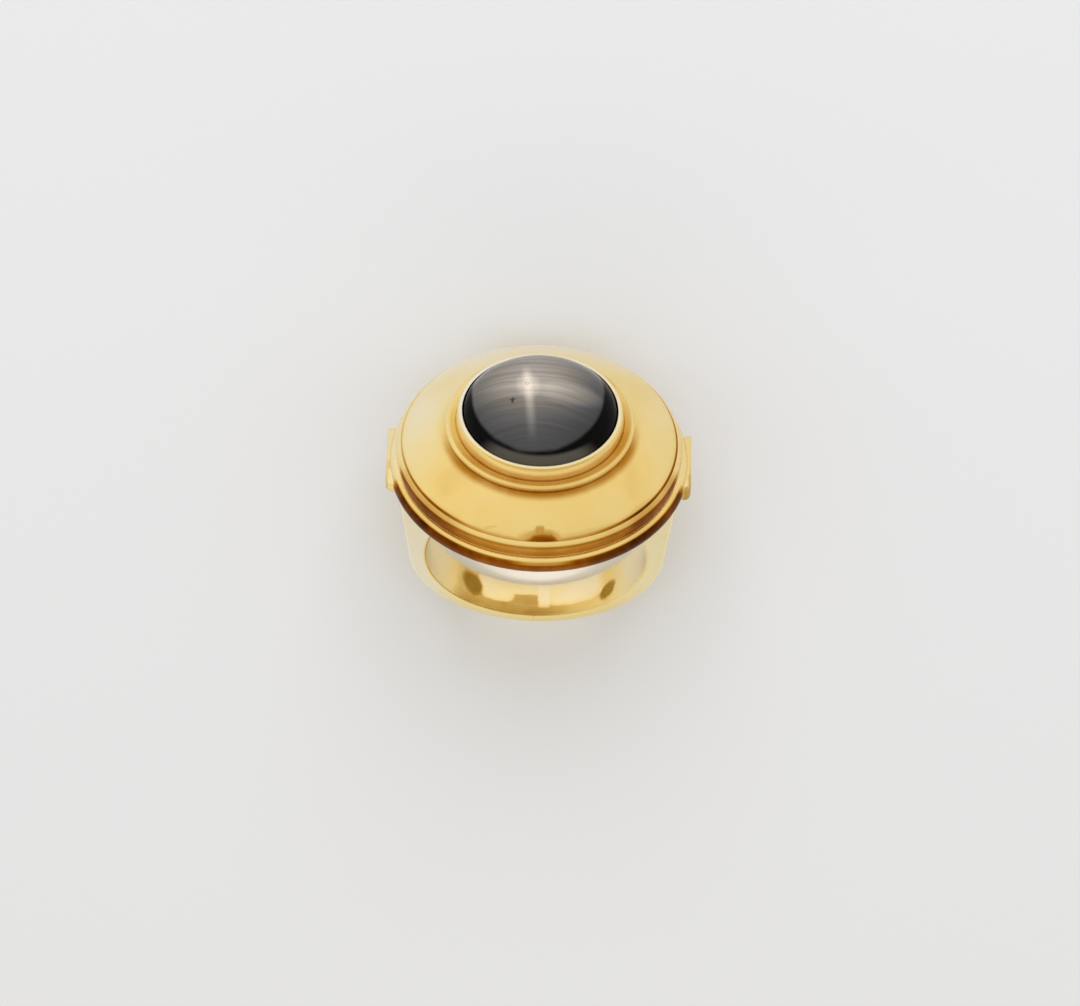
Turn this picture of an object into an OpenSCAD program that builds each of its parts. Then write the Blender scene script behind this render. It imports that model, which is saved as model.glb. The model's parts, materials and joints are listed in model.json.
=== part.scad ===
// A yellow gold dress ring with a low domed oval head and an oval star stone in a collar setting.
// The ring lies on its side, as it rests by itself: on the back of its rim and the foot of its shank.
// Sizes are in millimetres. Inside the modules the finger axis is Z and the head points along +Y.
// Heights in the head are measured along +Y from the centre of the finger hole.

/* [Finger hole and shank] */
// Inside diameter of the finger hole
finger_d = 17.5; // [16:0.5:18.5]
// Thickness of the shank at its foot
foot_t = 1.15; // [0.9:0.05:1.4]
// Width of the shank at its foot
foot_w = 2.8; // [2.4:0.1:3.4]
// Width of the shoulders under the head
shoulder_w = 5.6; // [4.8:0.1:6.4]
// Outward lean of the shoulders
shoulder_lean = 5.7; // [4:0.1:7]
// How far the shoulder tips stand out past the centre line of the lower rim wire
tip_reach = 0.98; // [0.86:0.02:1.1]

/* [Head] */
// Half length of the head, to the centre line of the lower rim wire
head_a = 11.02; // [10.7:0.02:11.2]
// Width of the head as a share of its length
oval = 0.888; // [0.84:0.004:0.94]
// Metal between the finger hole and the head's base plate
bridge_t = 0.25; // [0.2:0.05:0.4]
// Thickness of the base plate
base_t = 0.85; // [0.6:0.05:1]
// Radius of the lower rim wire
lower_wire_r = 0.8; // [0.7:0.02:0.84]
// Radius of the upper rim wire
upper_wire_r = 0.9; // [0.84:0.02:0.94]
// Rise from the lower wire to the upper one
wire_pitch = 1.68; // [1.6:0.02:1.74]

/* [Domed top] */
// Thickness of the domed sheet
sheet_t = 0.7; // [0.5:0.05:0.8]
// Radius of the dome's curve
dome_r = 9.95; // [9.8:0.05:10.2]
// Slope of the dome where it meets the rim
edge_slope = 43; // [42:0.5:44]

/* [Setting and stone] */
// Half length of the setting's collar
collar_a = 6.55; // [6.5:0.01:6.6]
// Thickness of the collar
collar_t = 0.3; // [0.25:0.05:0.4]
// Rise of the collar's lip above the dome
lip_rise = 1.75; // [1.65:0.05:1.85]
// Radius of the bead wire round the collar's foot
bead_r = 0.36; // [0.34:0.02:0.4]
// Height of the stone above its widest line
stone_rise = 3.75; // [3.4:0.05:4]

/* [Hidden] */
$fn = 96;
gap = 0.05;          // clear space between separate pieces
far = 30;            // longer than any piece, for cutting

finger_r = finger_d/2;

// Shank outline: one circle, its centre a little above the finger hole's, and straight leaning shoulders
shank_rise = 0.32;
shank_r = finger_r + foot_t + shank_rise;
shank_low = finger_r + foot_t;
foot_half = foot_w/2;
base_h = finger_r + bridge_t;
shoulder_top = base_h + base_t/2;
lean_x = shank_r*cos(shoulder_lean);
lean_y = shank_rise - shank_r*sin(shoulder_lean);
shoulder_x = lean_x + (shoulder_top - lean_y)*tan(shoulder_lean);

// Rim: two wires in front of one upright wall, the upper one set in by a step
wire_step = 0.65;
wire_sink = 0.03;    // how deep the lower wire is soldered into the base plate's plane
wall_t = 0.9;
top_flat = 0.12;     // taken off the upper wire as a seat for the dome
lower_wire_h = base_h + lower_wire_r - wire_sink;
upper_wire_a = head_a - wire_step;
upper_wire_h = lower_wire_h + wire_pitch;
wall_out = head_a - 0.1;
rim_top = upper_wire_h + upper_wire_r - top_flat;

// Shoulder tips: a flare under the lower wire that ends in a short upright face
tip_x = head_a + tip_reach;
tip_low = base_h + 0.3;
tip_top = lower_wire_h + 0.35;
flare_r = 1.5;

// Dome: an arc of revolution that starts at the collar and ends over the upper wire
edge_lift = 0.15;    // height of the dome's outer edge above the rim
edge_a = head_a - 0.14;
edge_h = rim_top + edge_lift;
dome_c_a = edge_a - dome_r*sin(edge_slope);
dome_c_h = edge_h - dome_r*cos(edge_slope);
function dome_h(a) = dome_c_h + sqrt(pow(dome_r, 2) - pow(a - dome_c_a, 2));

// Setting: a collar with a seat inside and a bead wire outside
collar_in = collar_a - collar_t;
collar_foot_h = dome_h(collar_a) - sheet_t;
lip_h = dome_h(collar_a) + lip_rise;
lip_lean = 0.1;
seat_w = 1.5;
seat_h = lip_h - 1.5;
bead_a = collar_a + 0.55;
bead_h = dome_h(bead_a) + 0.2;

// Stone: half an oval dome on a low bevelled base
stone_a = collar_in - gap;
stone_mid_h = seat_h + 0.55;
stone_bevel = 0.3;

// Resting tilt, at which the back of the lower wire and the edge of the foot touch the ground together
rest_run = lower_wire_h + shank_low;
rest_rise = oval*head_a - foot_half;
function wire_reach(tilt) = lower_wire_r*norm([oval*cos(tilt), sin(tilt)]);
function tilt_for(reach) = atan(rest_rise/rest_run) + asin(reach/norm([rest_run, rest_rise]));
rest_tilt = tilt_for(wire_reach(tilt_for(oval*lower_wire_r)));

gold = "goldenrod";
dark_stone = [0.22, 0.21, 0.22];

// Turns the ring from finger axis up to its resting tilt, and sets it on the ground over the origin
module at_rest() {
    lowest = shank_low*sin(rest_tilt) + foot_half*cos(rest_tilt);
    stone_reach = norm([stone_rise*cos(rest_tilt), oval*stone_a*sin(rest_tilt)]);
    head_end = stone_mid_h*cos(rest_tilt) + stone_reach;
    foot_end = shank_low*cos(rest_tilt) + foot_half*sin(rest_tilt);
    translate([0, (foot_end - head_end)/2, lowest]) rotate([rest_tilt, 0, 0]) children();
}

// Sweeps a half profile, drawn as distance from the head's axis and height, into an oval solid on the head
module oval_turn() {
    rotate([-90, 0, 0]) scale([1, oval, 1]) rotate_extrude() children();
}

// Outline of shank and shoulders seen along the finger, finger hole not yet cut
module shank_outline() {
    translate([0, shank_rise]) circle(r = shank_r);
    polygon([[-lean_x, lean_y], [lean_x, lean_y], [shoulder_x, shoulder_top], [-shoulder_x, shoulder_top]]);
    for (side = [-1, 1]) scale([side, 1]) tip_outline();
}

module tip_outline() {
    root_x = shoulder_x - 1;
    difference() {
        translate([root_x, tip_low - flare_r]) square([tip_x - root_x, tip_top - tip_low + flare_r]);
        translate([tip_x, tip_low - flare_r]) circle(r = flare_r);
    }
}

// Side view of the shank: narrow at the foot and wide at the shoulders
module shank_side() {
    widening = (shoulder_w - foot_w)/2/(tip_low + shank_low);
    below = 1;
    foot_y = -shank_low - below;
    foot_z = foot_half - widening*below;
    top_z = foot_half + widening*(tip_top + shank_low);
    polygon([[foot_y, -foot_z], [tip_top, -top_z], [tip_top, top_z], [foot_y, foot_z]]);
}

module shank() {
    intersection() {
        linear_extrude(far, center = true) shank_outline();
        rotate([90, 0, 90]) linear_extrude(far, center = true) shank_side();
    }
}

module rim_profile() {
    wall_in = wall_out - wall_t;
    translate([0, base_h]) square([head_a, base_t]);
    translate([wall_in, base_h]) square([wall_t, upper_wire_h - base_h]);
    translate([head_a, lower_wire_h]) circle(r = lower_wire_r);
    intersection() {
        translate([upper_wire_a, upper_wire_h]) circle(r = upper_wire_r);
        translate([wall_in, base_h]) square([head_a, rim_top - base_h]);
    }
}

module ring_mount() {
    color(gold) at_rest() difference() {
        union() {
            shank();
            oval_turn() rim_profile();
        }
        cylinder(h = far, r = finger_r, center = true);
    }
}

// Section of the domed sheet: the space between two arcs about one centre
module dome_section() {
    intersection() {
        difference() {
            translate([dome_c_a, dome_c_h]) circle(r = dome_r);
            translate([dome_c_a, dome_c_h]) circle(r = dome_r - sheet_t);
        }
        translate([collar_in, rim_top + gap]) square([edge_a - collar_in, far]);
    }
}

module setting_section() {
    polygon([[collar_a, collar_foot_h], [collar_a, stone_mid_h], [collar_a - lip_lean, lip_h],
        [collar_in - lip_lean, lip_h], [collar_in, stone_mid_h], [collar_in, collar_foot_h]]);
    translate([collar_a - seat_w, collar_foot_h]) square([seat_w, seat_h - gap - collar_foot_h]);
    translate([bead_a, bead_h]) circle(r = bead_r);
}

module domed_top() {
    color(gold) at_rest() oval_turn() {
        dome_section();
        setting_section();
    }
}

// Half an oval dome standing on its widest line, over a base that narrows to the seat
module star_stone() {
    color(dark_stone) at_rest() rotate([-90, 0, 0]) {
        intersection() {
            translate([0, 0, stone_mid_h]) scale([stone_a, oval*stone_a, stone_rise]) sphere(r = 1);
            translate([-far/2, -far/2, stone_mid_h]) cube(far);
        }
        translate([0, 0, seat_h]) scale([1, oval, 1])
            cylinder(h = stone_mid_h - seat_h, r1 = stone_a - stone_bevel, r2 = stone_a);
    }
}

ring_mount();
domed_top();
star_stone();
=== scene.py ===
import json
import math

import bmesh
import bpy
from mathutils import Matrix, Vector


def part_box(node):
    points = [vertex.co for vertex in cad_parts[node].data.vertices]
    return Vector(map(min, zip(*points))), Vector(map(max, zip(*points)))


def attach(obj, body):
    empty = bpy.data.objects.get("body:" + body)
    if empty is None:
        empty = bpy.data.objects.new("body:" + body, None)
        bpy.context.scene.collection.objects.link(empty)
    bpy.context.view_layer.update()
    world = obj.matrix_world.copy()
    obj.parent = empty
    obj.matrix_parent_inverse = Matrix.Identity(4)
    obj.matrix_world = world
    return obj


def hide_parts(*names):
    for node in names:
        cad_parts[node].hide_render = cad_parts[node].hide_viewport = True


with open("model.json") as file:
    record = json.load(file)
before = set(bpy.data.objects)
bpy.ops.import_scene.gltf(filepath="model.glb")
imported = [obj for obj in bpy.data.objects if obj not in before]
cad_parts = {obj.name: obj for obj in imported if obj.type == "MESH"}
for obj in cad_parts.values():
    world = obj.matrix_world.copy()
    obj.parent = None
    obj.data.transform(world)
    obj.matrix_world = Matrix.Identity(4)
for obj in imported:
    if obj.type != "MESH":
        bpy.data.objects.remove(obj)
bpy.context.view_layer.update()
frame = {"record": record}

# Places from the frame. Pieces are built upright in millimetres, with the middle of the finger hole
# at the origin, the head along +Z and its front along -Y, and are then laid in the ring's resting place.
MM = 0.001
hole = frame["record"]["mounts"][0]
HOLE_CENTRE = Vector(hole["pos_m"])
HOLE_AXIS = Vector(hole["axis"])
TILT = math.atan2(-HOLE_AXIS.y, HOLE_AXIS.z)
RESTING = (Matrix.Translation(HOLE_CENTRE)
           @ Matrix.Rotation(TILT - math.pi / 2, 4, "X")
           @ Matrix.Scale(MM, 4))

# Finger hole, shank and shoulders, in millimetres
FINGER_R = hole["dims"]["r_mm"]
FOOT_T = 1.15
FOOT_W = 2.8
SHOULDER_W = 5.6
SHOULDER_LEAN = math.radians(5.7)
SHANK_RISE = 0.32
SHANK_R = FINGER_R + FOOT_T + SHANK_RISE
SHANK_LOW = FINGER_R + FOOT_T
FLARE_R = 1.5
SHANK_ROUND = 0.3

# Head: base plate, rim wires and rim wall. Names end in _A for a distance from the head's axis along its
# length, and in _H for a height above the middle of the finger hole.
OVAL = 0.888
EDGE_INSET = 0.14
BRIDGE_T = 0.25
BASE_T = 0.85
LOWER_WIRE_R = 0.8
UPPER_WIRE_R = 0.9
WIRE_SINK = 0.03
WIRE_STEP = 0.65
WIRE_PITCH = 1.68
TOP_FLAT = 0.12
WALL_INSET = 0.1
WALL_T = 0.9
TIP_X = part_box("ring_mount")[1].x / MM
EDGE_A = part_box("domed_top")[1].x / MM
HEAD_A = EDGE_A + EDGE_INSET
BASE_H = FINGER_R + BRIDGE_T
LOWER_WIRE_H = BASE_H + LOWER_WIRE_R - WIRE_SINK
UPPER_WIRE_A = HEAD_A - WIRE_STEP
UPPER_WIRE_H = LOWER_WIRE_H + WIRE_PITCH
WALL_OUT = HEAD_A - WALL_INSET
WALL_IN = WALL_OUT - WALL_T
RIM_TOP = UPPER_WIRE_H + UPPER_WIRE_R - TOP_FLAT
TIP_LOW = BASE_H + 0.3
TIP_TOP = LOWER_WIRE_H + 0.35

# Face of the solder between the rim wires: how far out from the lower wire's centre, and how far up
SOLDER = ((0.1, 0.6), (0.03, 1), (-0.05, 1.1))

# How much the shank's half width grows with height, and the half width beside the finger hole's centre
WIDENING = (SHOULDER_W - FOOT_W) / 2 / (TIP_LOW + SHANK_LOW)
SHANK_HALF = FOOT_W / 2 + SHANK_LOW * WIDENING

# Dome: an arc about DOME_CENTRE, from the collar down to its rolled edge
GAP = 0.05
SHEET_T = 0.7
DOME_R = 9.95
EDGE_SLOPE = math.radians(43)
EDGE_LIFT = 0.15
EDGE_H = RIM_TOP + EDGE_LIFT
DOME_CENTRE = Vector((EDGE_A - DOME_R * math.sin(EDGE_SLOPE), 0, EDGE_H - DOME_R * math.cos(EDGE_SLOPE)))

# Setting and stone
STONE_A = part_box("star_stone")[1].x / MM
STONE_RISE = 3.75
STONE_BEVEL = 0.3
STONE_BASE_T = 0.55
COLLAR_T = 0.3
COLLAR_A = STONE_A + GAP + COLLAR_T
COLLAR_IN = COLLAR_A - COLLAR_T
LIP_RISE = 1.75
LIP_LEAN = 0.2
SEAT_W = 1.5
SEAT_DEPTH = 1.5
BEAD_R = 0.36
BEAD_A = COLLAR_A + 0.55
BEAD_LIFT = 0.2


def dome_height(a):
    """Height of the dome's outer face at a distance from the head's axis."""
    return DOME_CENTRE.z + math.sqrt(DOME_R**2 - (a - DOME_CENTRE.x) ** 2)


LIP_H = dome_height(COLLAR_A) + LIP_RISE
SEAT_H = LIP_H - SEAT_DEPTH
STONE_MID_H = SEAT_H + STONE_BASE_T
BEAD_H = dome_height(BEAD_A) + BEAD_LIFT

# Gold's tones, from the darkest painted shade through plain gold to an almost white painted highlight
GOLD_TONES = (
    (0, (0.05, 0.014, 0.001, 1)),
    (0.1, (0.27, 0.07, 0.002, 1)),
    (0.25, (0.56, 0.25, 0.022, 1)),
    (0.5, (0.95, 0.71, 0.26, 1)),
    (0.75, (0.98, 0.82, 0.45, 1)),
    (1, (0.98, 0.93, 0.82, 1)),
)
# The shank's gold is greener where it is dark
SHANK_TONES = (
    (0, (0.07, 0.035, 0.004, 1)),
    (0.25, (0.48, 0.28, 0.04, 1)),
    (0.5, (0.95, 0.74, 0.31, 1)),
    (0.75, (0.98, 0.84, 0.5, 1)),
    (1, (0.98, 0.94, 0.84, 1)),
)

# Middle of the stone's painted star, seen along the head's axis, in millimetres
STAR_X = -1.0
STAR_Y = 0.4

# The studio's colour by lean, in degrees from overhead towards the head
SKY = (
    (-90, (0.72, 0.7, 0.66, 1)),
    (-76, (0.84, 0.82, 0.77, 1)),
    (-64, (1, 0.98, 0.92, 1)),
    (-54, (0.95, 0.92, 0.85, 1)),
    (-42, (0.6, 0.47, 0.32, 1)),
    (-28, (0.56, 0.44, 0.3, 1)),
    (-12, (0.84, 0.81, 0.74, 1)),
    (10, (0.86, 0.84, 0.79, 1)),
    (60, (0.9, 0.88, 0.83, 1)),
    (90, (0.97, 0.95, 0.9, 1)),
)

# The photograph: its angle from the finger axis towards the head, its roll, its width in pixels, its pixels
# in a millimetre, and the pixels from the middle of the finger hole to its centre, to the right and upward
PHOTO_ANGLE = math.radians(53.4)
PHOTO_ROLL = math.radians(1.6)
PHOTO_WIDTH = 1080
PHOTO_SCALE = 12.52
PHOTO_SHIFT = (3.2, 32.5)

# Millimetres from the ring to the camera, its lean from upright, and the way to it
CAMERA_DISTANCE = 600
CAMERA_LEAN = PHOTO_ANGLE - TILT
TO_CAMERA = Vector((0, math.sin(CAMERA_LEAN), math.cos(CAMERA_LEAN)))

# Lights: their colours, and in metres how far off the spotlights stand and where one meets the floor, just
# inside the foot of the shank
PALE_LIGHT = (0.78, 0.85, 1)
WARM_LIGHT = (1, 0.88, 0.7)
SPOT_DISTANCE = 0.3
FOOT_INSIDE = Vector((0.0003, -0.0078, 0))

# Floor, in metres: its side, and how far below the ring it lies
FLOOR_SIDE = 3
FLOOR_DROP = 0.00002

# Mesh steps round the head's oval, how near counts as the same place in a mesh, and the sharpest bend
# between two faces that is still shaded smooth
AROUND = 240
HAIR = 0.001
SMOOTH_BELOW = math.radians(35)


class Value:
    """A shader socket that takes part in Python sums. Each sum adds its Math node."""

    def __init__(self, shader, socket):
        self.shader = shader
        self.socket = socket

    def math(self, operation, *terms):
        return self.shader.node("ShaderNodeMath", {"operation": operation}, terms)

    def __add__(self, other):
        return self.math("ADD", self, other)

    def __sub__(self, other):
        return self.math("SUBTRACT", self, other)

    def __rsub__(self, other):
        return self.math("SUBTRACT", other, self)

    def __mul__(self, other):
        return self.math("MULTIPLY", self, other)

    def __truediv__(self, other):
        return self.math("DIVIDE", self, other)

    def __pow__(self, other):
        return self.math("POWER", self, other)

    def __abs__(self):
        return self.math("ABSOLUTE", self)

    __radd__ = __add__
    __rmul__ = __mul__

    def least(self, other):
        return self.math("MINIMUM", self, other)

    def most(self, other):
        return self.math("MAXIMUM", self, other)

    def ramp(self, low, high):
        """0 at low and 1 at high, eased at both ends. low may be the larger one."""
        return self.shader.node("ShaderNodeMapRange", {"interpolation_type": "SMOOTHSTEP"},
                                {"Value": self, "From Min": low, "From Max": high})

    def bell(self, middle, half_width):
        """1 at the middle, falling to 0 at half_width on both sides."""
        return abs(self - middle).ramp(half_width, 0)


class Shader:
    """A material, or the studio's surroundings, and the nodes that are added to it."""

    def __init__(self, holder, surface="Principled BSDF"):
        holder.use_nodes = True
        self.material = holder
        self.tree = holder.node_tree
        self.surface = self.tree.nodes[surface]

    def node(self, kind, settings=None, inputs=(), output=0):
        """Adds a node: first its settings, then a value or a link for each named or numbered socket."""
        made = self.tree.nodes.new(kind)
        for name, value in (settings or {}).items():
            if name == "stops":
                self.set_stops(made.color_ramp.elements, value)
            else:
                setattr(made, name, value)
        pairs = inputs.items() if isinstance(inputs, dict) else enumerate(inputs)
        for key, value in pairs:
            self.feed(made.inputs[key], value)
        return Value(self, made.outputs[output])

    def feed(self, socket, value):
        if isinstance(value, Value):
            self.tree.links.new(value.socket, socket)
        else:
            socket.default_value = value

    @staticmethod
    def set_stops(elements, stops):
        while len(elements) < len(stops):
            elements.new(0.5)
        for element, (place, colour) in zip(elements, stops):
            element.position = place
            element.color = colour

    def set(self, **sockets):
        """Sets or links the surface's sockets, written with _ for a space."""
        for name, value in sockets.items():
            self.feed(self.surface.inputs[name.replace("_", " ")], value)

    def ring_place(self):
        """Place in the upright ring, in millimetres, from the object's own coordinates."""
        where = self.node("ShaderNodeTexCoord", output=3)
        settings = {"vector_type": "TEXTURE"}
        turned = (TILT - math.pi / 2, 0, 0)
        inputs = {"Vector": where, "Location": HOLE_CENTRE, "Rotation": turned, "Scale": (MM, MM, MM)}
        return self.node("ShaderNodeMapping", settings, inputs)

    def split(self, vector):
        """The three parts of a vector."""
        first = self.node("ShaderNodeSeparateXYZ", None, (vector,))
        return [Value(self, socket) for socket in first.socket.node.outputs]

    def join(self, x, y, z):
        return self.node("ShaderNodeCombineXYZ", None, (x, y, z))

    def stretch(self, vector, scale):
        return self.node("ShaderNodeMapping", {"vector_type": "POINT"}, {"Vector": vector, "Scale": scale})

    def noise(self, vector, scale, detail=2.0, roughness=0.5):
        inputs = {"Vector": vector, "Scale": scale, "Detail": detail, "Roughness": roughness}
        return self.node("ShaderNodeTexNoise", None, inputs)

    def mix(self, share, first, second):
        """Blends two colours."""
        return self.node("ShaderNodeMix", {"data_type": "RGBA"}, {0: share, 6: first, 7: second}, output=2)

    def bump(self, height, depth, under=None):
        """A bump whose height, from 0 to 1, is depth millimetres deep."""
        inputs = {"Height": height, "Distance": depth * MM}
        if under is not None:
            inputs["Normal"] = under
        return self.node("ShaderNodeBump", None, inputs)


def new_finish(name):
    return Shader(bpy.data.materials.new(name))


def wire_side(a, h, centre_a, centre_h, radius, facing):
    """1 on the side of a wire that faces a way, in degrees up from outwards, and -1 on the far side."""
    turn = math.radians(facing)
    outward = (a - centre_a) * math.cos(turn)
    upward = (h - centre_h) * math.sin(turn)
    return (outward + upward) / radius


def spot(x, y, at_x, at_y, half_x, half_y):
    """1 inside an oval spot, softening to 0 at its edge."""
    return (((x - at_x) / half_x) ** 2 + ((y - at_y) / half_y) ** 2).ramp(1, 0.2)


def patch(x, y, left, right, low, high):
    """1 inside a patch with round corners, softening to 0 past its edge."""
    across = (x * 2 - (left + right)) / (right - left)
    upward = (y * 2 - (low + high)) / (high - low)
    return (across**4 + upward**4).ramp(1.7, 0.2)


def rim_tone(x, y, a, h):
    """Painted shade on the rim: dark under the lower wire's front, in the groove between its wires and in
    the seam under the dome, with a painted highlight on the lower wire's crown.
    """
    def lower(facing):
        return wire_side(a, h, HEAD_A, LOWER_WIRE_H, LOWER_WIRE_R, facing)

    front = y.ramp(-1.8, -3.4)
    flank = abs(x).ramp(3.5, 8.5) * front
    on_lower = h.ramp(LOWER_WIRE_H + 0.86, LOWER_WIRE_H + 0.82)
    deep = abs(x).ramp(3, 8) * 0.14
    # Painted highlight: a bright streak in the shade under the lower wire, and a thin painted dark line
    # across it
    streak = lower(40).ramp(0.955, 0.985) * abs(x - 0.5).ramp(3, 1)
    line = lower(57).ramp(0.996, 0.9995) * abs(x - 0.5).ramp(5, 2) * 0.3
    # Painted shade under the lower wire's front, deeper towards the flanks, and on its underside all round
    low = (lower(-24).ramp(0.1, 0.4) * (0.86 + deep - streak * 0.36)).most(line) * front
    side = lower(-40).ramp(0.7, 1) * 0.5
    # Painted highlight on the lower wire's crown, turning to shade at the flanks
    crown = lower(105).ramp(0.35, 0.65) * (0.06 - flank * 0.2)
    # Painted shade in the groove between the wires and along the flanks, and in the seam under the dome's
    # edge
    groove = wire_side(a, h, UPPER_WIRE_A, UPPER_WIRE_H, UPPER_WIRE_R, -50).ramp(0.1, 0.25)
    groove = groove * (1 - on_lower) * (0.22 + front * 0.32)
    groove = groove + flank * (1 - on_lower) * 0.34
    seam = h.ramp(RIM_TOP - 0.05, RIM_TOP) * (0.4 + flank * 0.45)
    return crown * on_lower - (low.most(side) * on_lower).most(groove).most(seam)


def dome_tone(x, y, a, h):
    """The dome has painted shade at its edge, in its seam and below the bead, a dark blot at its front, and
    a painted pale sheen at its back.
    """
    flank = abs(x).ramp(3.5, 8.5)
    # Painted shade at the rolled edge and in the seam, stronger at the flanks
    edge = a.ramp(EDGE_A - 0.6, EDGE_A) * (0.1 + x.ramp(-4, 10) * 0.16) * y.ramp(6, 2)
    seam = a.ramp(EDGE_A - 0.2, EDGE_A - 0.06) * (0.2 + flank * 0.55) * y.ramp(9, 5)
    # Painted shade on the dome just below the bead, towards the front
    foot = a.ramp(BEAD_A + BEAD_R + 0.75, BEAD_A + BEAD_R + 0.1) * y.ramp(4, -3) * 0.5
    mottled = spot(x, y, -6.6, -4.2, 2.6, 2.8) * 0.07
    mottled = mottled.most(spot(x, y, 7.4, -3.6, 2.2, 3) * 0.06)
    # A dark blot at the front edge, with a short stem
    front_blot = spot(x, y, 0.3, -9.65, 2.4, 0.85) * 0.38
    front_blot = front_blot.most(spot(x, y, 0.45, -9.8, 1.9, 0.7) * 0.8)
    front_blot = front_blot.most(patch(x, y, -0.16, 0.66, -9.9, -8.75) * 0.45)
    flecks = spot(x, y, -3.7, -8.7, 0.8, 0.12) * 0.12
    # Painted sheen: paler towards the back, next to the collar and far out at the sides
    back = y.ramp(4, 9.4) * 0.6 + a.ramp(BEAD_A, COLLAR_A) * 0.4 + abs(x).ramp(7, 10) * 0.12
    return back - (edge + seam).most(foot).most(front_blot).most(flecks) - mottled


def collar_tone(x, y, a, h):
    """The collar has a painted highlight along its lip, and a painted pale sheen round its foot where that
    faces the front.
    """
    return h.ramp(LIP_H - 0.14, LIP_H) * 0.5 + h.ramp(BEAD_H + 1.1, BEAD_H + 0.5) * y.ramp(1, -4) * 0.8


def bead_tone(x, y, a, h):
    """The bead wire has a painted highlight on its crown, and painted shade below it and in the crease
    behind it.
    """
    under = wire_side(a, h, BEAD_A, BEAD_H, BEAD_R, -50).ramp(0.6, 0.95)
    crown = wire_side(a, h, BEAD_A, BEAD_H, BEAD_R, 50).ramp(0.84, 0.96)
    crease = a.ramp(COLLAR_A + 0.14, COLLAR_A + 0.06)
    return crown * 0.3 - (under * 0.3).most(crease * 0.3) - 0.42


def shank_tone(x, y, out, h):
    """The shank has a painted pale sheen up the front of its sides, painted shade along the finger hole's
    edge and the foot's lower border, dark spots at its tips, and painted highlights and painted dark
    reflections inside.

    out is the distance from the finger's axis.
    """
    tips = h.ramp(BASE_H - 0.6, BASE_H)
    front_face = (y + h * WIDENING + SHANK_HALF).ramp(0.7, 0.1)
    # Painted sheen on the front faces of the sides, fading towards the tips
    sides = abs(x).ramp(5, 9.5) * out.ramp(FINGER_R, FINGER_R + 0.3) * (0.5 - tips * 0.5) * front_face
    # Painted shade along the finger hole's edge, stronger on the left, and along the foot's lower border
    edge = out.bell(FINGER_R + 0.08, 0.24) * x.ramp(11, -5) * 0.75 + h.ramp(-9.3, -9.9) * 0.15 + 0.03
    dark_tip_spots = spot(x, y, -12, -0.9, 0.6, 0.7).most(spot(x, y, 11.8, -2.7, 0.6, 0.6)) * tips * 0.5
    inside = out.ramp(FINGER_R + 0.03, FINGER_R)
    # Painted highlights inside the band, and paler inner side walls as a painted reflection
    painted_highlights_inside = patch(x, y, 0.2, 1.3, -0.7, 2.4).most(h.ramp(-2, 3)) * 0.95
    painted_highlights_inside = painted_highlights_inside.most(patch(x, y, 0.9, 5.3, -0.6, 2.6) * 0.74)
    painted_highlights_inside = painted_highlights_inside.most(patch(x, y, -4.5, -1.7, -0.5, 2.6) * 0.74)
    painted_highlights_inside = painted_highlights_inside.most(patch(x, y, -3, 1, 0.5, 2.6) * 0.7).most(abs(x).ramp(5.8, 7.6) * 0.65)
    # Painted dark reflections inside the band, and a painted deep gold band along its bottom
    painted_dark_reflections = spot(x + y * 0.15, y, -5, 0.3, 1, 1.35) * 0.95
    painted_dark_reflections = painted_dark_reflections.most(spot(x - y * 0.3, y, 5.95, -0.4, 0.7, 1) * 1.15)
    painted_dark_reflections = painted_dark_reflections.most(patch(x, y, -2.3, 0.3, -0.6, 0.5) * 0.14)
    painted_dark_reflections = painted_dark_reflections.most(patch(x, y, -6.4, 3.4, -1.9, -0.6) * 0.16)
    seam = x.bell(-0.1, 0.08) * h.ramp(-8, -8.8) * (1 - inside) * 0.2
    # Darker on the outer back half, which takes back part of the painted pale sheen that gold gives the back
    back = y.ramp(-1, 1.5) * (1 - inside) * 0.2
    rim = abs(x).ramp(TIP_X - 0.35, TIP_X - 0.05) * y.ramp(1.5, -2.5) * 0.5
    hollow = (painted_highlights_inside * (1 - painted_dark_reflections.least(1)) - painted_dark_reflections * 0.5) * inside
    return sides - edge - dark_tip_spots.most(rim) - seam - back + hollow


def gold(name, tone, roughness, grain_depth, grain=6.0, ragged=0.0, tones=GOLD_TONES):
    """Yellow gold with an uneven polish and fine marks, and painted light and shade in its colour.

    tone tells how much lighter (to 1) or darker (to -1) a place is, mostly painted highlights and painted
    shade, and ragged how far its outlines stray.
    The tones of the head go by the distance from its own axis, and the shank's by that from the finger's.
    """
    shader = new_finish(name)
    place = shader.ring_place()
    x, y, h = shader.split(place)
    out = (x**2 + (h if tones is SHANK_TONES else y / OVAL) ** 2) ** 0.5
    fine = shader.noise(place, grain, 4.0, 0.6)
    broad = shader.noise(place, 0.35, 2.0)
    patches = shader.noise(place, 1.1, 3.0, 0.55)
    stray = shader.noise(place, 1.2, 2.0, 0.45) - 0.5
    cross = shader.noise(shader.stretch(place, (-1, 1, 1)), 1.2, 2.0, 0.45) - 0.5
    painted_light_and_marks = tone(x + stray * ragged, y + cross * ragged, out, h)
    # Painted sheen: paler towards the left front and towards the back, over a broad random tone
    paler = broad.ramp(0.3, 0.7) * 0.1 + x.ramp(2, -11) * y.ramp(-5, 0) * 0.35 + y.ramp(-4, 4) * 0.22
    shade = 0.5 + (paler + painted_light_and_marks * (0.93 + patches.ramp(0.3, 0.6) * 0.07)) * 0.5
    colour = shader.node("ShaderNodeValToRGB", {"stops": tones}, (shade,))
    uneven = shader.bump(broad, 0.03)
    shader.set(Base_Color=colour, Metallic=1.0,
               Roughness=roughness + fine.ramp(0.3, 0.7) * 0.06 + painted_light_and_marks.ramp(-0.2, -1) * 0.15,
               Normal=shader.bump(fine, grain_depth, uneven))
    return shader.material


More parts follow.
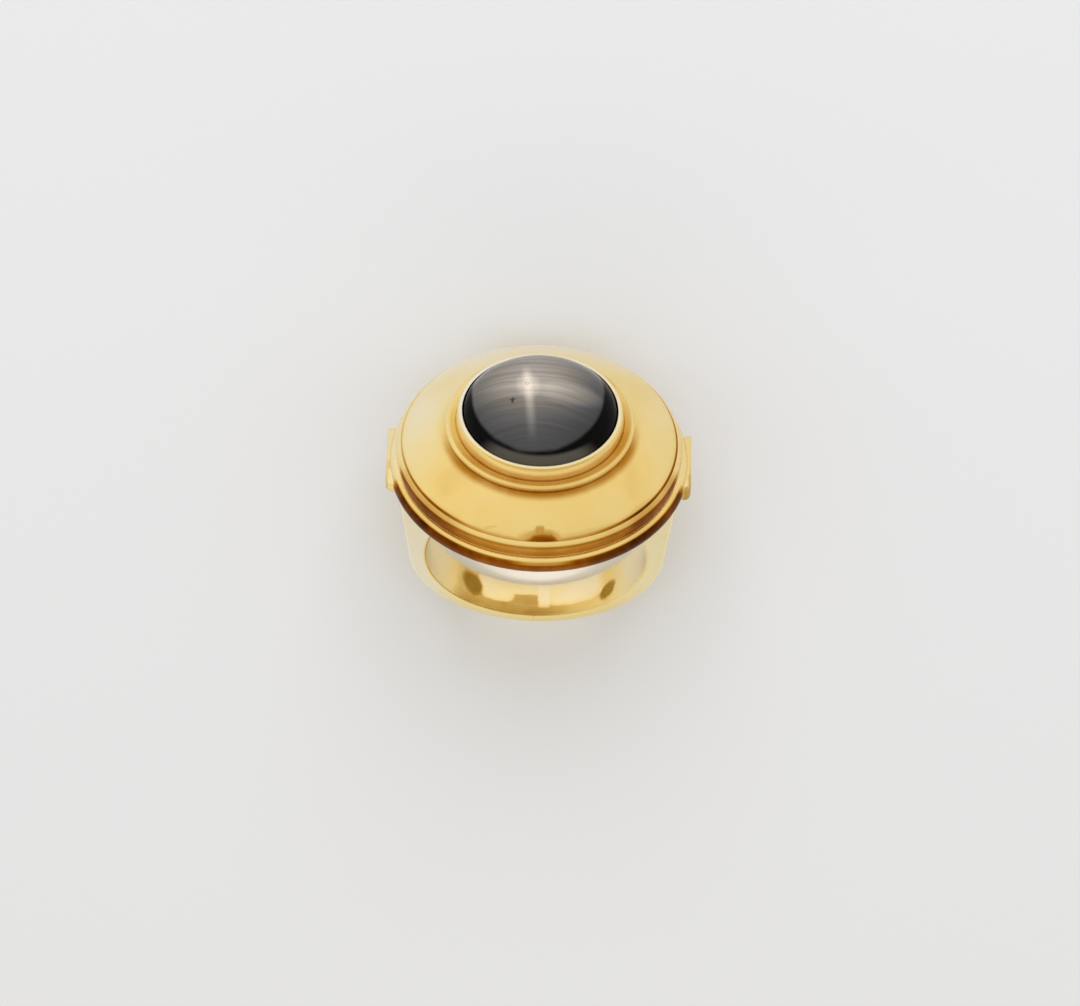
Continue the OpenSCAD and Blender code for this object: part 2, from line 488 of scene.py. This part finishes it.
def stone_finish():
    """Dark star stone: a painted silky glow with one clear ray, arched growth lines, a pit, and a painted
    black border where it mirrors the dark.
    """
    shader = new_finish("star_stone_finish")
    place = shader.ring_place()
    x, y, h = shader.split(place)
    along = x - STAR_X
    back = (y - STAR_Y).most(0)
    front = (STAR_Y - y).most(0)
    # Painted highlights: the glow, ray, beam and star stand in for light mirrored inside the stone
    across_glow = x.bell(STAR_X + 0.3, 6.6)
    glow = across_glow / (1 + (front / 1.55) ** 2 + (back / 4.2) ** 2)
    ray_line = along + (y - STAR_Y) * 0.1
    ray = ray_line.bell(0, 0.55) * y.ramp(-4.6, -0.2) * y.ramp(3, 1.2)
    beam = (y - STAR_Y + 0.1 + along * 0.05).bell(0, 0.5) * across_glow
    star = (ray_line**2 + (y - STAR_Y) ** 2 * 0.5).ramp(1.3, 0)
    arched = y + along**2 * 0.022 + shader.noise(shader.stretch(place, (0.3, 0.3, 0.3)), 1.0) * 0.5
    lines = shader.noise(shader.join(x * 0.1, arched * 2.6, 0), 1.0, 3.0, 0.6).ramp(0.3, 0.7)
    brown = spot(x, y, 2.3, -0.1, 3, 1.3)
    silk_tone_and_painted_glow = 0.012 + glow * (0.26 + lines * 0.14) + ray * 0.2 + beam * 0.06 + star * 0.17 + brown * 0.07
    ragged = (shader.noise(place, 0.7, 1.0, 0.5) - 0.5) * y.ramp(-2, -4.6) * 0.09
    half_x = 5.1 + back * 0.12
    # Inside the zone the stone is painted lit and coated; outside it lies a painted black crescent
    zone = (((x + 0.2) / half_x) ** 2 + ((y - 0.45) / 5.2) ** 2 + ragged).ramp(1.06, 0.95)
    past_pit = (x + 2.17) ** 2
    pit = (past_pit * 60 + (y + 0.97) ** 2 * 12).ramp(1.2, 0.4)
    pit = pit.most((past_pit * 9 + (y + 0.9) ** 2 * 120).ramp(1.2, 0.4) * 0.7)
    ring_mark = (((x + 1.09) ** 2 + (y - 0.5) ** 2) ** 0.5).bell(0.13, 0.07) * 0.5
    level = silk_tone_and_painted_glow * zone * (1 - pit.most(ring_mark) * 0.8)
    outer = (x**2 + (y / OVAL) ** 2) ** 0.5
    # Painted grey reflection along the bottom edge, between the black crescent and the collar
    border = outer.ramp(STONE_A - 0.75, STONE_A - 0.5) * y.ramp(-3.3, -4.5) * (1 - zone)
    warm = glow.ramp(0.05, 0.4).most(brown)
    tint = shader.mix(warm, (0.95, 0.93, 0.97, 1), (1.0, 0.87, 0.72, 1))
    colour = shader.mix(level, (0.002, 0.002, 0.002, 1), tint)
    colour = shader.mix(border, colour, (0.075, 0.07, 0.058, 1))
    shader.set(Base_Color=colour, Roughness=0.05, IOR=1.12,
               Coat_Weight=zone * 0.7, Coat_IOR=1.5, Coat_Roughness=0.04)
    return shader.material


def floor_finish():
    shader = new_finish("floor_finish")
    shader.set(Base_Color=(0.805, 0.825, 0.86, 1), Roughness=0.9, Specular_IOR_Level=0.1)
    return shader.material


def studio():
    """Soft light all round: broad and bright past the head, with a darker band between foot and overhead."""
    world = bpy.data.worlds.new("studio")
    bpy.context.scene.world = world
    shader = Shader(world, "Background")
    x, y, z = shader.split(shader.node("ShaderNodeTexCoord", output=0))
    lean = shader.node("ShaderNodeMath", {"operation": "ARCTAN2"}, (y, z))
    stops = [((degrees + 90) / 180, colour) for degrees, colour in SKY]
    sky = shader.node("ShaderNodeValToRGB", {"stops": stops}, (lean / math.pi + 0.5,))
    shader.set(Strength=1 - x * 0.06, Color=sky)


def deselect():
    bpy.ops.object.select_all(action="DESELECT")


def select_where(test):
    """In edit mode, selects just the vertices whose place passes the test."""
    mesh = bmesh.from_edit_mesh(bpy.context.object.data)
    for part in (mesh.faces, mesh.edges, mesh.verts):
        for element in part:
            element.select = False
    for vertex in mesh.verts:
        if test(vertex.co):
            vertex.select = True
    mesh.select_flush(True)
    bmesh.update_edit_mesh(bpy.context.object.data)


class Section:
    """A section drawn from point to point with one vertex, in the XZ plane, and then turned into a solid."""

    def __init__(self, start):
        deselect()
        bpy.ops.mesh.primitive_plane_add(size=1, enter_editmode=True)
        bpy.ops.mesh.merge(type="CENTER")
        bpy.ops.transform.translate(value=(start[0], 0, start[1]))
        self.at = Vector((start[0], 0, start[1]))

    def line(self, *points):
        for a, h in points:
            step = Vector((a, 0, h)) - self.at
            bpy.ops.mesh.extrude_vertices_move(TRANSFORM_OT_translate={"value": step})
            self.at += step

    def arc(self, centre, degrees, steps):
        """Turns the open end about a centre. A positive angle goes from +X towards +Z."""
        middle = Vector((centre[0], 0, centre[1]))
        bpy.ops.mesh.spin(steps=steps, angle=math.radians(degrees), center=middle, axis=(0, 1, 0))
        self.at = middle + Matrix.Rotation(math.radians(-degrees), 3, "Y") @ (self.at - middle)

    def close(self):
        """Merges the points that meet, and leaves all of them selected."""
        bpy.ops.mesh.select_all(action="SELECT")
        bpy.ops.mesh.remove_doubles(threshold=HAIR)

    def turn(self):
        """Sweeps the section once round the head's axis and squeezes it to the head's oval."""
        self.close()
        bpy.ops.mesh.spin(steps=AROUND, angle=math.tau, center=(0, 0, 0), axis=(0, 0, 1))
        self.close()
        bpy.ops.mesh.normals_make_consistent(inside=False)
        bpy.ops.transform.resize(value=(1, OVAL, 1), center_override=(0, 0, 0))
        bpy.ops.object.mode_set(mode="OBJECT")
        return bpy.context.object


def modify(piece, kind, **settings):
    """Adds a modifier and applies it."""
    modifier = piece.modifiers.new(kind.lower(), kind)
    for name, value in settings.items():
        setattr(modifier, name, value)
    bpy.context.view_layer.objects.active = piece
    bpy.ops.object.modifier_apply(modifier=modifier.name)


def finish_piece(piece, name, material, node):
    """Lays a finished piece in the ring's resting place and gives it its name, finish and body."""
    deselect()
    piece.select_set(True)
    bpy.context.view_layer.objects.active = piece
    piece.matrix_world = RESTING
    bpy.ops.object.transform_apply(location=True, rotation=True, scale=True)
    bpy.ops.object.shade_smooth_by_angle(angle=SMOOTH_BELOW)
    piece.name = name
    piece.data.name = name
    piece.data.materials.append(material)
    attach(piece, "root")
    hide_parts(node)


def shank():
    """Band, leaning shoulders and tips: one outline and the finger hole, filled, widened and tapered.

    One half is widened from the middle, its outer edge is rounded in steps, and it is mirrored.
    """
    lean = Vector((math.sin(SHOULDER_LEAN), math.cos(SHOULDER_LEAN)))
    lean_start = Vector((SHANK_R * lean.y, SHANK_RISE - SHANK_R * lean.x))
    flare = Vector((TIP_X, TIP_LOW - FLARE_R))
    past = lean.dot(flare - lean_start)
    aside = (flare - lean_start).length_squared - past**2
    flare_start = lean_start + lean * (past + math.sqrt(FLARE_R**2 - aside))
    flare_sweep = math.degrees(math.atan2(flare_start.y - flare.y, flare_start.x - flare.x)) - 90
    root_x = WALL_OUT - WALL_T / 2
    root_h = BASE_H + BASE_T / 2

    section = Section((-lean_start.x, lean_start.y))
    section.arc((0, SHANK_RISE), 180 - 2 * math.degrees(SHOULDER_LEAN), 150)
    section.line(flare_start)
    section.arc(flare, -flare_sweep, 10)
    section.line((TIP_X, TIP_TOP), (root_x, TIP_TOP), (root_x, root_h))
    section.line((-root_x, root_h), (-root_x, TIP_TOP), (-TIP_X, TIP_TOP), (-TIP_X, flare.y + FLARE_R))
    section.arc((-flare.x, flare.y), -flare_sweep, 10)
    section.line((-lean_start.x, lean_start.y))
    bpy.ops.mesh.primitive_circle_add(vertices=180, radius=FINGER_R, rotation=(math.pi / 2, 0, 0))
    section.close()
    bpy.ops.mesh.fill()
    at = SHANK_HALF - SHANK_ROUND
    bpy.ops.mesh.extrude_region_move(TRANSFORM_OT_translate={"value": (0, at, 0)})
    past_hole = FINGER_R + 0.4
    size = 1
    for turn in range(15, 91, 15):
        turned = math.radians(turn)
        reach = SHANK_HALF - SHANK_ROUND * (1 - math.sin(turned))
        bpy.ops.mesh.extrude_region_move(TRANSFORM_OT_translate={"value": (0, reach - at, 0)})
        at = reach
        select_where(lambda place: place.y > at - HAIR and math.hypot(place.x, place.z) > past_hole)
        new_size = 1 - SHANK_ROUND * (1 - math.cos(turned)) / SHANK_R
        change = new_size / size
        bpy.ops.transform.resize(value=(change, 1, change), center_override=(0, 0, SHANK_RISE))
        size = new_size
        select_where(lambda place: place.y > at - HAIR)
    select_where(lambda place: place.y < HAIR)
    bpy.ops.mesh.delete(type="ONLY_FACE")
    bpy.ops.object.mode_set(mode="OBJECT")
    piece = bpy.context.object
    modify(piece, "MIRROR", use_axis=(False, True, False), merge_threshold=HAIR)
    modify(piece, "SIMPLE_DEFORM", deform_method="TAPER", deform_axis="Z", lock_x=True,
           factor=WIDENING / SHANK_HALF * (TIP_TOP + SHANK_LOW))
    modify(piece, "BEVEL", width=0.06, segments=3, limit_method="ANGLE", angle_limit=math.radians(40))
    bpy.ops.object.mode_set(mode="EDIT")
    bpy.ops.mesh.select_all(action="SELECT")
    bpy.ops.mesh.normals_make_consistent(inside=False)
    bpy.ops.object.mode_set(mode="OBJECT")
    return piece


def rim_wall():
    """A tray of the base plate, the upright wall behind the wires, and the solder between the wires."""
    section = Section((0, BASE_H))
    section.line((HEAD_A, BASE_H))
    section.line(*((HEAD_A + out, LOWER_WIRE_H + up) for out, up in SOLDER))
    section.line((WALL_OUT, UPPER_WIRE_H), (WALL_IN, UPPER_WIRE_H))
    section.line((WALL_IN, BASE_H + BASE_T), (0, BASE_H + BASE_T))
    return section.turn()


def lower_wire():
    section = Section((HEAD_A + LOWER_WIRE_R, LOWER_WIRE_H))
    section.arc((HEAD_A, LOWER_WIRE_H), 360, 36)
    return section.turn()


def upper_wire():
    """The wire under the dome: round outside, flat on top, flush with the wall inside."""
    centre = (UPPER_WIRE_A, UPPER_WIRE_H)
    top_turn = math.asin((RIM_TOP - UPPER_WIRE_H) / UPPER_WIRE_R)
    low_turn = math.acos((WALL_IN - UPPER_WIRE_A) / UPPER_WIRE_R)
    section = Section((WALL_IN, RIM_TOP))
    section.line((UPPER_WIRE_A + UPPER_WIRE_R * math.cos(top_turn), RIM_TOP))
    section.arc(centre, -math.degrees(top_turn + low_turn), 36)
    section.line((WALL_IN, RIM_TOP))
    piece = section.turn()
    modify(piece, "BEVEL", width=0.05, segments=2, limit_method="ANGLE", angle_limit=math.radians(40))
    return piece


def dome():
    """The domed sheet between two arcs about one centre, with a rolled lower edge."""
    centre = (DOME_CENTRE.x, DOME_CENTRE.z)
    foot_h = RIM_TOP + GAP
    under_r = DOME_R - SHEET_T
    start_turn = math.degrees(math.acos((COLLAR_IN - DOME_CENTRE.x) / DOME_R))
    end_turn = 90 - math.degrees(EDGE_SLOPE)
    under_end = math.degrees(math.asin((foot_h - DOME_CENTRE.z) / under_r))
    under_start = math.degrees(math.acos((COLLAR_IN - DOME_CENTRE.x) / under_r))
    section = Section((COLLAR_IN, dome_height(COLLAR_IN)))
    section.arc(centre, end_turn - start_turn, 32)
    section.line((EDGE_A, foot_h), (DOME_CENTRE.x + under_r * math.cos(math.radians(under_end)), foot_h))
    section.arc(centre, under_start - under_end, 32)
    section.line((COLLAR_IN, dome_height(COLLAR_IN)))
    piece = section.turn()
    modify(piece, "BEVEL", width=0.14, segments=4, limit_method="ANGLE", angle_limit=math.radians(35))
    return piece


def collar():
    """The setting's collar, burnished over the stone, with the seat that the stone rests on."""
    seat_a = COLLAR_A - SEAT_W
    foot_h = dome_height(COLLAR_A) - SHEET_T
    bend = 0.04
    section = Section((COLLAR_A, foot_h))
    section.line((COLLAR_A, STONE_MID_H), (COLLAR_A - bend, LIP_H - 0.35), (COLLAR_A - LIP_LEAN, LIP_H))
    section.line((COLLAR_IN - LIP_LEAN, LIP_H), (COLLAR_IN - bend, LIP_H - 0.45), (COLLAR_IN, STONE_MID_H))
    section.line((COLLAR_IN, SEAT_H - GAP), (seat_a, SEAT_H - GAP))
    section.line((seat_a, foot_h), (COLLAR_A, foot_h))
    piece = section.turn()
    modify(piece, "BEVEL", width=0.1, segments=4, limit_method="ANGLE", angle_limit=math.radians(30))
    return piece


def bead():
    """The wire round the collar's foot, with the solder that fills the gap behind it."""
    bare = 115
    solder_a = COLLAR_A - GAP
    solder_top = BEAD_H + BEAD_R * math.sin(math.radians(bare)) - 0.08
    solder_low = BEAD_H - 0.1
    section = Section((BEAD_A + BEAD_R, BEAD_H))
    section.arc((BEAD_A, BEAD_H), bare, 14)
    section.line((solder_a, solder_top), (solder_a, solder_low), (BEAD_A - BEAD_R, solder_low))
    section.line((BEAD_A, BEAD_H - BEAD_R))
    section.arc((BEAD_A, BEAD_H), 90, 8)
    return section.turn()


def stone():
    """Half an oval dome on a low base that narrows to the seat."""
    bpy.ops.mesh.primitive_uv_sphere_add(segments=180, ring_count=110, radius=STONE_A)
    bpy.ops.object.mode_set(mode="EDIT")
    bpy.ops.mesh.bisect(plane_co=(0, 0, 0), plane_no=(0, 0, 1), clear_inner=True)
    bpy.ops.mesh.select_all(action="SELECT")
    bpy.ops.transform.resize(value=(1, 1, STONE_RISE / STONE_A), center_override=(0, 0, 0))
    bpy.ops.transform.translate(value=(0, 0, STONE_MID_H))
    select_where(lambda place: place.z < STONE_MID_H + HAIR)
    bpy.ops.mesh.extrude_edges_move(TRANSFORM_OT_translate={"value": (0, 0, SEAT_H - STONE_MID_H)})
    narrowing = 1 - STONE_BEVEL / STONE_A
    bpy.ops.transform.resize(value=(narrowing, narrowing, 1), center_override=(0, 0, 0))
    bpy.ops.mesh.edge_face_add()
    bpy.ops.mesh.select_all(action="SELECT")
    bpy.ops.mesh.normals_make_consistent(inside=False)
    bpy.ops.transform.resize(value=(1, OVAL, 1), center_override=(0, 0, 0))
    bpy.ops.object.mode_set(mode="OBJECT")
    return bpy.context.object


def light(kind, centre, power, faces, **settings):
    """A light that faces a place and isn't mirrored in the gold."""
    data = bpy.data.lights.new(kind.lower(), kind)
    data.energy = power
    for name, value in settings.items():
        setattr(data, name, value)
    lamp = bpy.data.objects.new(data.name, data)
    bpy.context.scene.collection.objects.link(lamp)
    lamp.location = centre
    lamp.rotation_mode = "QUATERNION"
    lamp.rotation_quaternion = (faces - Vector(centre)).to_track_quat("-Z", "Y")
    lamp.visible_glossy = False


def spotlight(faces, way, power, spread, blend):
    """A small warm light on the floor, from some way off."""
    light("SPOT", faces + SPOT_DISTANCE * way, power, faces, spot_size=spread, spot_blend=blend,
          shadow_soft_size=0.004, color=WARM_LIGHT)


def camera():
    """The photograph's view: its angle to the ring, its roll and its framing."""
    level_right = Vector((1, 0, 0))
    level_up = Vector((0, TO_CAMERA.z, -TO_CAMERA.y))
    right = math.cos(PHOTO_ROLL) * level_right + math.sin(PHOTO_ROLL) * level_up
    up = -math.sin(PHOTO_ROLL) * level_right + math.cos(PHOTO_ROLL) * level_up
    data = bpy.data.cameras.new("camera")
    data.sensor_width = 36
    data.lens = data.sensor_width * CAMERA_DISTANCE * PHOTO_SCALE / PHOTO_WIDTH
    data.clip_end = 10
    seen = bpy.data.objects.new("camera", data)
    bpy.context.scene.collection.objects.link(seen)
    shift = (PHOTO_SHIFT[0] * right + PHOTO_SHIFT[1] * up) / PHOTO_SCALE
    at = HOLE_CENTRE + MM * (shift + CAMERA_DISTANCE * TO_CAMERA)
    seen.matrix_world = Matrix.Translation(at) @ Matrix((right, up, TO_CAMERA)).transposed().to_4x4()
    bpy.context.scene.camera = seen


def floor():
    """A plain floor, a hair's breadth below the ring."""
    deselect()
    bpy.ops.mesh.primitive_plane_add(size=FLOOR_SIDE)
    plane = bpy.context.object
    plane.name = "floor"
    plane.location.z = -FLOOR_DROP
    plane.data.materials.append(floor_finish())


camera()
floor()

shank_gold = gold("shank_gold", shank_tone, 0.13, grain_depth=0.001, ragged=0.35, tones=SHANK_TONES)
rim_gold = gold("rim_gold", rim_tone, 0.26, grain=4.0, grain_depth=0.0006)
bead_gold = gold("bead_gold", bead_tone, 0.26, grain_depth=0.0006)
collar_gold = gold("collar_gold", collar_tone, 0.28, grain_depth=0.002)
dome_gold = gold("dome_gold", dome_tone, 0.42, grain=14.0, grain_depth=0.008, ragged=0.3)
finish_piece(shank(), "shank", shank_gold, "ring_mount")
finish_piece(rim_wall(), "rim_wall", rim_gold, "ring_mount")
finish_piece(lower_wire(), "lower_wire", rim_gold, "ring_mount")
finish_piece(upper_wire(), "upper_wire", rim_gold, "ring_mount")
finish_piece(dome(), "dome", dome_gold, "domed_top")
finish_piece(collar(), "collar", collar_gold, "domed_top")
finish_piece(bead(), "bead", bead_gold, "domed_top")
finish_piece(stone(), "cabochon", stone_finish(), "star_stone")

studio()
light("AREA", (0, 0.55, 0.35), 2.1, HOLE_CENTRE, shape="RECTANGLE", size=0.5, size_y=0.3, color=PALE_LIGHT)
spotlight(HOLE_CENTRE, HOLE_AXIS, 2.3, 0.053, 0.3)
spotlight(FOOT_INSIDE, TO_CAMERA, 1.6, 0.039, 0.2)
bpy.context.scene.view_settings.view_transform = "Standard"
